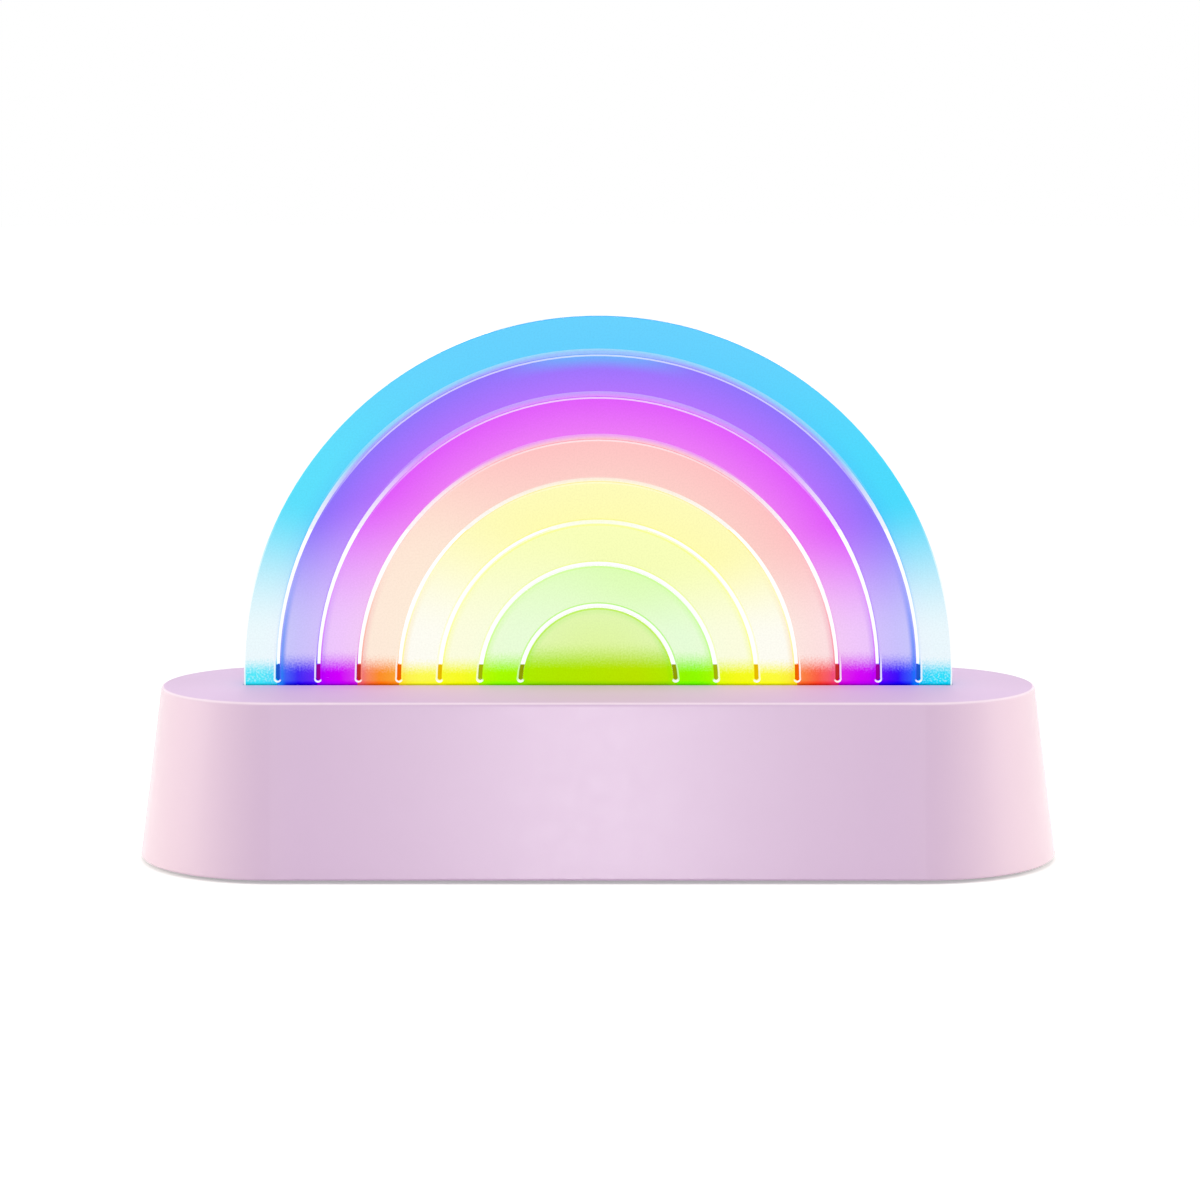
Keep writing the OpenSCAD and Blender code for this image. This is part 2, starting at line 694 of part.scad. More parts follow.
// Sockets of the diode lead and of the battery lead on the control board
module lead_sockets() color(white_plastic) {
    at_led_socket() difference() {
        cube([led_socket_w, socket_dep, socket_h]);
        translate([socket_rim, socket_rim, socket_rim])
            cube([led_socket_w - 2 * socket_rim, socket_dep - 2 * socket_rim, socket_h]);
    }
    at_cell_socket() difference() {
        cube([cell_socket_len, cell_socket_w, cell_socket_h]);
        translate([socket_rim, socket_rim, socket_rim])
            cube([cell_socket_len, cell_socket_w - 2 * socket_rim, cell_socket_h - 2 * socket_rim]);
    }
}

// Plugs of both leads, seated in their sockets
module lead_plugs() color(white_plastic) {
    rim = socket_rim + hole_gap;
    at_led_socket() translate([rim, rim, socket_rim])
        cube([led_socket_w - 2 * rim, socket_dep - 2 * rim, socket_h - socket_rim + plug_rise]);
    at_cell_socket() translate([socket_rim, rim, rim])
        cube([cell_socket_len - socket_rim + cell_plug_out, cell_socket_w - 2 * rim,
            cell_socket_h - 2 * rim]);
}

// Three wires from the control board up to the diode board
module led_lead() color(black_plastic) {
    start_z = board_top + socket_h + plug_rise;
    turn_z = (start_z + light_board_z) / 2 - wire_bend;
    route = concat(
        [[led_socket_y, start_z]],
        arc(led_socket_y - wire_bend, turn_z, wire_bend, 0, 90, 6),
        arc(led_wire_y + wire_bend, turn_z + 2 * wire_bend, wire_bend, 270, 180, 6),
        [[led_wire_y, light_board_z]]);
    for (i = [-1:1]) translate([led_socket_x + i * wire_step, 0, 0]) rotate([90, 0, 90]) wire(route);
}

// Two wires from the end of the battery round to its socket
module battery_lead() color(black_plastic) {
    mid_y = (cell_y + cell_socket_y) / 2;
    turn_x = board_len / 2 + cell_plug_out + wire_bend;
    for (i = [-1, 1]) {
        turn_r = (cell_socket_y - cell_y) / 2 + i * wire_step / 2;
        translate([0, 0, cell_wire_z]) wire(concat(
            [[cell_len / 2, mid_y - turn_r]],
            arc(turn_x, mid_y, turn_r, -90, 90, 24),
            [[board_len / 2 + cell_plug_out, mid_y + turn_r]]));
    }
}

// Rechargeable cell in its sleeve
module battery_cell() color(cell_blue) translate([-cell_len / 2, cell_y, cell_z]) rotate([0, 90, 0]) {
    soft = 0.6;
    rotate_extrude() polygon([
        [0, 0],
        [cell_r - soft, 0],
        [cell_r, soft],
        [cell_r, cell_len - soft],
        [cell_r - soft, cell_len],
        [0, cell_len]]);
}

// Strap over the battery, with a screw lug on each side
module battery_strap() color(white_plastic) difference() {
    outer_r = strap_r + strap_t;
    translate([-strap_w / 2, cell_y, 0]) rotate([90, 0, 90]) linear_extrude(strap_w) polygon(concat(
        arc(0, cell_z, outer_r, 0, 180, 24),
        [[-outer_r, strap_lug_z + strap_lug_t], [-strap_lug_y, strap_lug_z + strap_lug_t]],
        [[-strap_lug_y, strap_lug_z], [-strap_r, strap_lug_z]],
        arc(0, cell_z, strap_r, 180, 0, 24),
        [[strap_r, strap_lug_z], [strap_lug_y, strap_lug_z]],
        [[strap_lug_y, strap_lug_z + strap_lug_t], [outer_r, strap_lug_z + strap_lug_t]]));
    for (way = [-1, 1]) translate([0, cell_y + way * strap_screw_y, strap_lug_z - past])
        cylinder(r = board_screw_r + hole_gap, h = strap_lug_t + 2 * past);
}

module strap_screws() color(steel) for (way = [-1, 1])
    translate([0, cell_y + way * strap_screw_y, strap_lug_z + strap_lug_t]) rotate([180, 0, 0])
        screw(board_screw_r, strap_boss_h + strap_lug_t, board_head_r, board_head_h);

base_shell();
base_cover();
rubber_feet();
base_screws();
rainbow_panel();
panel_clamp_front();
panel_clamp_rear();
clamp_screws();
light_baffle();
led_board();
led_packages();
led_board_screws();
control_board();
control_board_screws();
controller_chip();
charger_chip();
power_inductor();
filter_capacitor();
board_resistors();
usb_socket();
usb_insulator();
switch_bodies();
power_plunger();
power_button();
mode_plunger();
mode_button();
lead_sockets();
lead_plugs();
led_lead();
battery_lead();
battery_cell();
battery_strap();
strap_screws();
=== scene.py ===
import math
from collections import namedtuple

import bmesh
import bpy
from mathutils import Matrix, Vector


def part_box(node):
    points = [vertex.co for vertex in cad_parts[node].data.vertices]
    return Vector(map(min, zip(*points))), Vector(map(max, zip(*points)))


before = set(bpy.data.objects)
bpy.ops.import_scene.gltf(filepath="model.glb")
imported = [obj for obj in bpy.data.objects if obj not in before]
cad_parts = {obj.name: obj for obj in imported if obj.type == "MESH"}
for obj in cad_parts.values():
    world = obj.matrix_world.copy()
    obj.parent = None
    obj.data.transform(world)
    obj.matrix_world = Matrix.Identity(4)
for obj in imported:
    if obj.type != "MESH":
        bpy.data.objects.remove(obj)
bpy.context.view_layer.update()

MM = 0.001
WHITE = (1, 1, 1, 1)
BLACK = (0, 0, 0, 1)

# The rainbow's arcs. Slot 0 is the innermost one. From slot to slot the radius grows by one step,
# and the centre climbs a little. The arch's outer edge lies a part of a step past the last slot.
PANEL_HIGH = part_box("rainbow_panel")[1]
CASING_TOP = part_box("base_shell")[1].z
ARCH_R = PANEL_HIGH.x
ARCH_CENTRE = PANEL_HIGH.z - ARCH_R
SLOTS = 7
CORE_R = 21.95 * MM
SLOT_HALF = 0.6 * MM
EDGE_BAND = 9.45 * MM
CORE_LIFT = 0.65 * MM
ARC_CLIMB = (ARCH_CENTRE - CASING_TOP - CORE_LIFT) / SLOTS
SLOT_STEP = (ARCH_R - EDGE_BAND - CORE_R) / (SLOTS - 1)

# Ring numbers count steps of radius from slot 0. These are those of radius 0 and of the outer edge.
RING_MIDDLE = -CORE_R / SLOT_STEP
RING_EDGE = (ARCH_R - CORE_R) / SLOT_STEP

# The bands from the middle outwards. Colours are sRGB, 0 to 255: the arch at the band's inner edge
# and at its outer edge, the glow at its left foot and at its right foot, and the low web in the slot
# outside the band, whose colour is the glow darkened by painted shade. Paleness says how pale the
# band gets where the light enters it, and reach how far its foot's glow goes, against that of the
# others.
Band = namedtuple("Band", "inner outer left right web paleness reach")
BANDS = (
    Band((222, 246, 145), (226, 248, 176), (178, 232, 0), (186, 228, 0), (144, 154, 3), 0.0, 1.5),
    Band((222, 254, 178), (222, 254, 182), (168, 254, 2), (146, 253, 2), (164, 178, 7), 0.60, 1.2),
    Band((247, 254, 184), (249, 255, 186), (249, 254, 40), (246, 254, 30), (230, 185, 0), 0.66, 1.0),
    Band((255, 252, 178), (254, 251, 184), (254, 253, 82), (254, 254, 60), (238, 104, 8), 0.87, 0.9),
    Band((253, 206, 200), (254, 194, 195), (253, 144, 44), (252, 98, 72), (192, 50, 44), 0.64, 1.05),
    Band((236, 122, 247), (224, 88, 252), (209, 8, 254), (214, 22, 248), (160, 22, 150), 0.55, 1.2),
    Band((178, 114, 254), (142, 114, 252), (68, 50, 247), (58, 26, 253), (42, 92, 202), 0.50, 1.12),
    Band((96, 205, 254), (98, 208, 254), (86, 236, 252), (44, 226, 252), (42, 92, 202), 0.83, 0.95),
)

# Heights above the casing: the strong glow at the feet, the pale stretch above it, which ends higher
# on the larger bands and on the left, and the start of the upper web
FOOT_GLOW_FULL = 3.0 * MM
FOOT_GLOW_END = 8.6 * MM
PALE_FULL = 13 * MM
PALE_END = 24 * MM
PALE_END_PER_RADIUS = 0.30
PALE_END_LEFT = 9 * MM
UPPER_WEB = 44 * MM
# A flat face is a web where it lies closer to the sheet's middle plane than this
WEB_Y = 2 * MM

# Where most of a noise's values lie, and the sizes of the soft clouds in colour and in roughness
NOISE_LOW, NOISE_HIGH = 0.3, 0.7
COLOUR_CLOUD = 14 * MM
ROUGHNESS_CLOUD = 3 * MM

# Smooth steps of the rainbow's colours, by x, by height above the casing, by ring number or part of a
# ring, or by noise. Each has its start and end, then its values there if these aren't 0 and 1.
RIGHTWARD_X = (-14 * MM, 14 * MM)
LEAN_HEIGHT = (104 * MM, 55 * MM, 0.0, 0.55)
SPILL_X = (30 * MM, 6 * MM, 0.0, 0.75)
SPILL_RING = (SLOTS - 1.45, SLOTS - 1.05)
SPILL_HEIGHT = (70 * MM, 85 * MM)
PALE_LEFT_X = (14 * MM, -14 * MM, 0.0, PALE_END_LEFT)
PALE_LEFT_RING = (6.1, 4.9)
CREAM_X = (-10 * MM, -50 * MM, 0.0, 0.75)
CREAM_HEIGHT = (80 * MM, 35 * MM)
SPECKLE_NOISE = (0.45, 0.75, 0.0, 0.36)
SPECKLE_HEIGHT = (11 * MM, 6 * MM)
# Painted shade at the sheet's foot, where it goes into the casing: deeper, then darker
DEEPER_HEIGHT = (1.5 * MM, 0.6 * MM, 0.0, 0.8)
DARKEST_HEIGHT = (0.6 * MM, 0.2 * MM, 0.0, 0.8)
EDGE_PART = (0.76, 0.9, 0.0, 0.4)
EDGE_HEIGHT = (40 * MM, 8 * MM)
EDGE_RING = (SLOTS - 2.0, SLOTS - 1.9, 0.6, 1.8)
OUT_BEVEL_DEEP = (40 * MM, 6 * MM, 0.0, 0.6)
# Painted highlights: the bevels turn white at these heights
OUT_BEVEL_HIGHLIGHT = (42 * MM, 75 * MM, 0.0, 0.52)
RIM_HIGHLIGHT = (50 * MM, 20 * MM, 0.0, 0.85)
IN_BEVEL_LOW_HIGHLIGHT = (10 * MM, 5 * MM, 0.0, 0.75)
IN_BEVEL_HIGH_HIGHLIGHT = (45 * MM, 75 * MM, 0.0, 0.26)
# A painted reflection that makes the inner slots' cut walls nearly white
WALL_REFLECTION_RING = (1.2, 2.8, 0.85, 0.0)
WEB_WHITE = (UPPER_WEB, 68 * MM, 0.96, 0.24)
WEB_INNERMOST_HEIGHT = (UPPER_WEB, 48 * MM, 1.0, 0.5)
WEB_OTHERS_RING = (2.4, 2.6)
FACE_GRAIN = (NOISE_LOW, NOISE_HIGH, 0.965, 1.015)

# The same by how far a face is turned to the front or back: 0 is a cut wall, 1 a face of the sheet
BEVEL_FACING = (0.3, 0.5)
FLAT_FACING = (0.8, 0.95)
FACE_ROUGHNESS, WALL_ROUGHNESS = 0.32, 0.8
ROUGHNESS_FACING = (0.3, 0.8, WALL_ROUGHNESS, FACE_ROUGHNESS)
# And by how far a bevel faces up
ROUND_END_UP = (0.1, 0.5)

# Shares and powers of the rainbow's colours
FOOT_BLEND = 0.35
PALE_ARCH_SHARE = 0.5
GLOW_RAGGED = 3.4 * MM
# The power and share of the painted shade at the sheet's foot
DEEPER_GAMMA = 1.6
DARKEST_SHARE = 0.45
EDGE_GAMMA = 1.5
INMOST_SLOT_DEEP = 0.4
INNER_SLOTS_DEEP = 0.3
IN_BEVEL_DEEP = 0.7
# The painted highlight on the slots' rounded ends: its share, and the height it reaches
ROUND_END_HIGHLIGHT = 0.85
ROUND_END_TOP = 3 * MM
WALL_GAMMA = 1.8
# The acrylic gives most of its light itself. Its faint gloss adds to that, and is taken off the glow.
BODY_SHARE = 0.15
GLOW = 0.86
SHEEN = 0.03

# Smooth steps of the casing's look, by distance from the middle and by z: the painted rim light
# towards the round ends, the painted highlight along the edge of the top, and the finish
CASING_SATIN, CASING_MATT = 0.21, 0.60
CASING_RIM_LIGHT_X = (78 * MM, 130 * MM, 0.0, 0.5)
CASING_RIM_LIGHT_Z = (CASING_TOP - 0.1 * MM, CASING_TOP - 0.8 * MM)
CASING_RIDGE_HIGHLIGHT_LOW = (CASING_TOP - 0.75 * MM, CASING_TOP - 0.45 * MM)
CASING_RIDGE_HIGHLIGHT_HIGH = (CASING_TOP - 0.03 * MM, CASING_TOP - 0.12 * MM, 0.0, 0.6)
CASING_FINISH = (CASING_TOP - 0.5 * MM, CASING_TOP - 0.05 * MM, CASING_SATIN, CASING_MATT)

# The floor and the light of the room around it
FLOOR_R = 6.0
FLOOR_SIDES = 96
FLOOR_GREYS = (0.79, 0.81)
FLOOR_SHADOW_R = 0.2
FLOOR_WHITE_R = 0.5
FLOOR_LIFT = 0.35
FILL_LEVEL = 0.45

# The camera, fitted to the photograph
CAMERA_PLACE = (0.54 * MM, -1000 * MM, 208.4 * MM)
CAMERA_DOWN = 7.69
CAMERA_LENS = 107.16
CAMERA_SENSOR = 36

# The lamps. The camera doesn't see them, and only the mirrored ones show in reflections.
SIDE_TINT = (1.0, 1.0, 0.82)
Lamp = namedtuple("Lamp", "place target width height power colour mirrored")
LAMPS = {
    "front": Lamp((0, -2.5, 0.24), (0, 0, 0.03), 0.10, 0.50, 4.0, (1.0, 0.99, 0.97), True),
    "left": Lamp((-0.9, -0.15, 0.30), (-0.1, 0, 0.03), 0.5, 0.6, 4.3, SIDE_TINT, False),
    "right": Lamp((0.9, -0.15, 0.30), (0.1, 0, 0.03), 0.5, 0.6, 4.3, SIDE_TINT, False),
    "top": Lamp((0, -0.45, 1.15), (0, 0, 0.05), 0.9, 0.7, 4.0, WHITE[:3], True),
    "rear": Lamp((0, 0.8, 0.9), (0, 0, 0.05), 1.2, 0.5, 3.0, WHITE[:3], True),
    "back": Lamp((0, 2.5, 0.24), (0, 0, 0.03), 0.40, 0.50, 6.5, WHITE[:3], True),
}


def srgb(red, green, blue):
    """A colour given as 0 to 255, as the shader's linear numbers."""
    shares = [c / 255 for c in (red, green, blue)]
    linear = [s / 12.92 if s <= 0.04045 else ((s + 0.055) / 1.055) ** 2.4 for s in shares]
    return (*linear, 1.0)


def grey(level):
    return (level, level, level, 1.0)


def scaled(colour, factor):
    """The colour times the factor, no channel over 1."""
    return tuple(min(1.0, c * factor) for c in colour[:3]) + (1.0,)


def ramp_place(ring):
    """Where a ring number lies on a ramp from the panel's middle to its outer edge."""
    return (ring - RING_MIDDLE) / (RING_EDGE - RING_MIDDLE)


# Where each band starts and ends on such a ramp
BAND_ENDS = [(ramp_place(start), ramp_place(end))
             for start, end in zip([RING_MIDDLE, *range(SLOTS)], [*range(SLOTS), RING_EDGE])]


class Nodes:
    """Short calls that add nodes to a tree."""

    def __init__(self, tree):
        self.tree = tree

    def add(self, kind, inputs=None, **settings):
        """A new node. Inputs are numbers, colours or other nodes' sockets, by name or number."""
        made = self.tree.nodes.new(kind)
        for key, value in settings.items():
            setattr(made, key, value)
        for key, value in (inputs or {}).items():
            self.feed(made.inputs[key], value)
        return made

    def feed(self, socket, value):
        if isinstance(value, bpy.types.NodeSocket):
            self.tree.links.new(value, socket)
        else:
            socket.default_value = value

    def math(self, operation, *values):
        return self.add("ShaderNodeMath", dict(enumerate(values)), operation=operation).outputs[0]

    def times(self, first, *others):
        """The product of two or more values."""
        for other in others:
            first = self.math("MULTIPLY", first, other)
        return first

    def over(self, value, limit):
        """1 where value is greater than limit, otherwise 0."""
        return self.math("GREATER_THAN", value, limit)

    def under(self, value, limit):
        """1 where value is less than limit, otherwise 0."""
        return self.math("LESS_THAN", value, limit)

    def split(self, vector):
        """A vector's x, y and z."""
        return self.add("ShaderNodeSeparateXYZ", {0: vector}).outputs

    def ease(self, value, start, end, low=0.0, high=1.0):
        """A smooth step from low to high as value goes from start to end."""
        return self.add("ShaderNodeMapRange", {0: value, 1: start, 2: end, 3: low, 4: high},
                        interpolation_type="SMOOTHSTEP").outputs[0]

    def mix(self, share, first, second, blend="MIX"):
        """A colour from first to second as share goes from 0 to 1."""
        made = self.add("ShaderNodeMix", data_type="RGBA", blend_type=blend)
        for index, value in ((0, share), (6, first), (7, second)):
            self.feed(made.inputs[index], value)
        return made.outputs[2]

    def gamma(self, colour, power):
        return self.add("ShaderNodeGamma", {0: colour, 1: power}).outputs[0]

    def ramp(self, value, stops, kind="LINEAR"):
        """A colour ramp over value, from stops of (position, colour)."""
        made = self.add("ShaderNodeValToRGB", {0: value})
        made.color_ramp.interpolation = kind
        steps = made.color_ramp.elements
        while len(steps) < len(stops):
            steps.new(1.0)
        for step, (position, colour) in zip(steps, stops):
            step.position = position
            step.color = colour
        return made.outputs[0]


class Look(Nodes):
    """A material in the making: one shader, and the nodes in front of it."""

    def __init__(self, name, roughness, metallic=0.0, specular=0.5):
        self.material = bpy.data.materials.new(name)
        self.material.use_nodes = True
        super().__init__(self.material.node_tree)
        self.shader = self.tree.nodes["Principled BSDF"]
        self.shade("Roughness", roughness)
        self.shade("Metallic", metallic)
        self.shade("Specular IOR Level", specular)
        self.place = self.add("ShaderNodeTexCoord").outputs["Object"]

    def shade(self, name, value):
        """Sets one of the shader's inputs."""
        self.feed(self.shader.inputs[name], value)

    def noise(self, size, detail=3.0, stretch=(1, 1, 1)):
        """Soft noise about 0.5, with lumps of that size, drawn out along an axis by stretch."""
        mapped = self.add("ShaderNodeMapping", {"Vector": self.place,
                                                "Scale": [1 / (size * s) for s in stretch]})
        return self.add("ShaderNodeTexNoise", {"Vector": mapped.outputs[0], "Scale": 1.0,
                                               "Detail": detail}).outputs["Fac"]

    def bump(self, height, depth, strength=1.0):
        """Raises the surface by height times depth."""
        made = self.add("ShaderNodeBump", {"Height": height, "Distance": depth, "Strength": strength})
        self.shade("Normal", made.outputs[0])


class Acrylic(Look):
    """The look of the lit panel, and the values on it that the colours depend on."""

    def __init__(self):
        super().__init__("rainbow_acrylic", FACE_ROUGHNESS, specular=0.3)
        self.x, self.y, self.z = self.split(self.place)
        self.side = self.math("ABSOLUTE", self.x)
        self.height = self.math("SUBTRACT", self.z, CASING_TOP)
        self.ring = self.ring_number()
        self.share = self.math("DIVIDE", self.math("SUBTRACT", self.ring, RING_MIDDLE),
                               RING_EDGE - RING_MIDDLE)
        self.outermost = self.over(self.ring, SLOTS - 1.0)
        self.not_outermost = self.math("SUBTRACT", 1.0, self.outermost)
        left, left_blended = self.foot_colours([band.left for band in BANDS])
        right, right_blended = self.foot_colours([band.right for band in BANDS])
        rightward = self.ease(self.x, *RIGHTWARD_X)
        self.foot = self.mix(rightward, left, right)
        self.blended_foot = self.mix(rightward, left_blended, right_blended)

    def ring_number(self):
        """The number of the ring through a point: the larger root of x^2 + (height - centre)^2 =
        radius^2, whose centre and radius both grow with the number. Under its centre a ring runs
        straight down."""
        side = self.math("DIVIDE", self.math("SUBTRACT", self.side, CORE_R), SLOT_STEP)
        rise = self.math("MAXIMUM", self.math("SUBTRACT", self.height, CORE_LIFT),
                         self.times(side, ARC_CLIMB))
        slope = self.math("MULTIPLY_ADD", rise, ARC_CLIMB, CORE_R * SLOT_STEP)
        rest = self.math("ADD", self.times(self.x, self.x), self.times(rise, rise))
        rest = self.math("SUBTRACT", rest, CORE_R * CORE_R)
        square = SLOT_STEP * SLOT_STEP - ARC_CLIMB * ARC_CLIMB
        root = self.math("SQRT", self.math("MULTIPLY_ADD", rest, square, self.times(slope, slope)))
        return self.math("DIVIDE", self.math("SUBTRACT", root, slope), square)

    def by_band(self, colours):
        """A colour that is the same all over each band."""
        stops = [(start, colour) for (start, _), colour in zip(BAND_ENDS, colours)]
        return self.ramp(self.share, stops, "CONSTANT")

    def foot_colours(self, colours):
        """The glow at the feet on one side: each band's own colour, in which its neighbours' show a
        little, and the same colours all blended into each other."""
        colours = [srgb(*colour) for colour in colours]
        own = self.by_band(colours)
        blended = self.ramp(self.share, [((start + end) / 2, colour)
                                         for (start, end), colour in zip(BAND_ENDS, colours)])
        return self.mix(FOOT_BLEND, own, blended), blended

    def arch(self):
        """The arch's colours, which run into each other in the slots."""
        blur = SLOT_HALF / SLOT_STEP / (RING_EDGE - RING_MIDDLE)
        stops = [stop for (start, end), band in zip(BAND_ENDS, BANDS)
                 for stop in ((start + blur, srgb(*band.inner)), (end - blur, srgb(*band.outer)))]
        arch = self.ramp(self.share, stops)

        # On its sides the outermost band leans to the colour of its feet
        lean = self.times(self.outermost, self.ease(self.height, *LEAN_HEIGHT))
        arch = self.mix(lean, arch, self.foot)

        # Over its middle, its blue shows in the next band's edge
        spill = self.times(self.ease(self.side, *SPILL_X), self.ease(self.ring, *SPILL_RING),
                           self.not_outermost, self.ease(self.height, *SPILL_HEIGHT))
        return self.mix(spill, arch, srgb(92, 188, 253))

    def paled(self, arch):
        """The arch's colours, with the pale stretch above each foot. The peach band, between slots 3
        and 4, is creamy on its left side."""
        palest = self.by_band([grey(band.paleness) for band in BANDS])
        radius = self.math("MULTIPLY_ADD", self.ring, SLOT_STEP, CORE_R)
        end = self.math("MULTIPLY_ADD", radius, PALE_END_PER_RADIUS, PALE_END)
        further = self.times(self.ease(self.x, *PALE_LEFT_X), self.ease(self.ring, *PALE_LEFT_RING))
        end = self.math("ADD", end, further)
        pale = self.mix(palest, self.mix(PALE_ARCH_SHARE, self.foot, arch), WHITE)
        colour = self.mix(self.times(self.ease(self.height, end, PALE_FULL), self.over(palest, 0.0)),
                          arch, pale)
        peach = self.times(self.over(self.ring, 3.0), self.under(self.ring, 4.0))
        cream = self.times(self.ease(self.x, *CREAM_X), self.ease(self.height, *CREAM_HEIGHT))
        return self.mix(self.times(peach, cream), colour, srgb(255, 238, 216))

    def with_glowing_feet(self, colour):
        """Adds the feet's glow, which ends in a grainy edge, and painted shade that makes it deeper
        and then darker in the last millimetre above the casing.
        """
        reach = self.by_band([grey(band.reach / 2) for band in BANDS])
        mottle = self.math("SUBTRACT", self.noise(0.5 * MM, 1.0), 0.5)
        glow_height = self.math("MULTIPLY_ADD", mottle, GLOW_RAGGED, self.height)
        glow_height = self.math("DIVIDE", glow_height, self.times(reach, 2.0))
        colour = self.mix(self.ease(glow_height, FOOT_GLOW_END, FOOT_GLOW_FULL), colour, self.foot)
        speckle = self.times(self.ease(self.noise(0.6 * MM, 1.0), *SPECKLE_NOISE), self.outermost,
                             self.ease(self.height, *SPECKLE_HEIGHT))
        colour = self.mix(speckle, colour, WHITE)
        # Painted shade where the sheet goes into the casing: the foot's colour deeper, then darker
        # still
        deeper = self.gamma(self.foot, DEEPER_GAMMA)
        colour = self.mix(self.ease(self.height, *DEEPER_HEIGHT), colour, deeper)
        darkest = self.mix(1.0, deeper, grey(DARKEST_SHARE), "MULTIPLY")
        return self.mix(self.ease(self.height, *DARKEST_HEIGHT), colour, darkest)

    def face(self, colour):
        """The sheet's front and back. Each band's outer edge is deeper on its lower sides, most of
        all that of the band under the outermost one."""
        part = self.math("FRACT", self.math("ADD", self.ring, 4.0))
        bands = self.times(self.over(self.ring, -0.5), self.not_outermost)
        deep = self.times(self.ease(part, *EDGE_PART), self.ease(self.height, *EDGE_HEIGHT), bands,
                          self.ease(self.ring, *EDGE_RING))
        return self.mix(deep, colour, self.gamma(self.blended_foot, EDGE_GAMMA))

    def bevel(self, colour, normal_x, normal_z):
        """The bevels. Those that face outwards are deep in colour on the lower sides with a painted
        highlight at the top, and the outermost one has a painted white highlight low down. The inward
        ones and the slots' rounded ends have painted white highlights too. All are deeper on the
        inner slots."""
        above = self.math("MAXIMUM", self.math("SUBTRACT", self.z, ARCH_CENTRE), 0.0)
        outward = self.math("ADD", self.times(normal_x, self.x), self.times(normal_z, above))
        inner = self.math("ADD", self.times(self.under(self.ring, 0.5), INMOST_SLOT_DEEP),
                          self.times(self.under(self.ring, 2.5), INNER_SLOTS_DEEP))

        deep = self.math("MAXIMUM", self.ease(self.height, *OUT_BEVEL_DEEP), inner)
        outer = self.mix(deep, colour, self.foot)
        # Painted highlights: the outward bevels white at the top, the outermost one white low down
        outer = self.mix(self.ease(self.height, *OUT_BEVEL_HIGHLIGHT), outer, WHITE)
        rim_highlight = self.mix(self.ease(self.height, *RIM_HIGHLIGHT), colour, WHITE)
        outer = self.mix(self.outermost, outer, rim_highlight)

        # Painted highlights: the inward bevels white low down and at the top
        inward = self.mix(self.ease(self.height, *IN_BEVEL_LOW_HIGHLIGHT), colour, WHITE)
        inward = self.mix(self.ease(self.height, *IN_BEVEL_HIGH_HIGHLIGHT), inward, WHITE)
        inward = self.mix(self.times(inner, IN_BEVEL_DEEP), inward, self.foot)

        bevel = self.mix(self.over(outward, 0.0), inward, outer)
        # Painted highlight: the slots' rounded ends white near the casing
        round_end = self.times(self.ease(normal_z, *ROUND_END_UP),
                               self.under(self.height, ROUND_END_TOP))
        return self.mix(self.times(round_end, ROUND_END_HIGHLIGHT), bevel, WHITE)

    def wall(self, colour):
        """The cut walls, which are deeper, apart from those of the inner slots, which a painted
        reflection makes nearly white.
        """
        return self.mix(self.ease(self.ring, *WALL_REFLECTION_RING), self.gamma(colour, WALL_GAMMA), WHITE)

    def web(self, colour):
        """The webs in the slots. The low ones are deep in colour, darkened by painted shade. The
        upper ones are pale where they start, and the innermost of them, in slot 2, soon less so."""
        starts = [0.0, *(ramp_place(slot + 0.5) for slot in range(SLOTS))]
        # Painted shade: the low webs take the glow of the bands beside them, darkened
        low = self.ramp(self.share, [(start, srgb(*band.web)) for start, band in zip(starts, BANDS)],
                        "CONSTANT")
        full = self.math("MAXIMUM", self.ease(self.ring, *WEB_OTHERS_RING),
                         self.ease(self.height, *WEB_INNERMOST_HEIGHT))
        high = self.mix(self.times(self.ease(self.height, *WEB_WHITE), full), colour, WHITE)
        return self.mix(self.over(self.height, UPPER_WEB / 2), low, high)


def rainbow_acrylic():
    """Lit acrylic: each band pales towards its foot, and glows strongly right above the casing."""
    look = Acrylic()
    colour = look.with_glowing_feet(look.paled(look.arch()))
    normal = look.add("ShaderNodeNewGeometry").outputs["True Normal"]
    normal_x, normal_y, normal_z = look.split(normal)
    facing = look.math("ABSOLUTE", normal_y)
    inside = look.under(look.math("ABSOLUTE", look.y), WEB_Y)
    cut = look.mix(look.ease(facing, *BEVEL_FACING), look.wall(colour),
                   look.bevel(colour, normal_x, normal_z))
    flat = look.mix(inside, look.face(colour), look.web(colour))
    on_face = look.ease(facing, *FLAT_FACING)
    colour = look.mix(on_face, cut, flat)

    grain = look.ease(look.noise(0.5 * MM, 2.0), *FACE_GRAIN)
    colour = look.mix(1.0, colour, grain, "MULTIPLY")
    look.shade("Base Color", look.mix(1.0, colour, grey(BODY_SHARE), "MULTIPLY"))
    look.shade("Emission Color", look.mix(1.0, colour, grey(SHEEN), "SUBTRACT"))
    look.shade("Emission Strength", GLOW)
    # The cut walls are duller, and the grain in the surface is only on the faces
    look.shade("Roughness", look.ease(facing, *ROUGHNESS_FACING))
    look.bump(look.noise(0.35 * MM, 2.0), 0.01 * MM, on_face)
    return look


def moulded(name, colour, roughness, grain, depth, variation=0.04):
    """Moulded plastic: a fine grain in its surface and a faint cloudiness in its colour."""
    look = Look(name, roughness)
    look.shade("Base Color", look.mix(look.noise(COLOUR_CLOUD, 2.0), scaled(colour, 1 - variation),
                                      scaled(colour, 1 + variation)))
    look.shade("Roughness", look.ease(look.noise(ROUGHNESS_CLOUD), NOISE_LOW, NOISE_HIGH,
                                      roughness - 0.04, roughness + 0.04))
    look.bump(look.noise(grain, 2.0), depth)
    return look


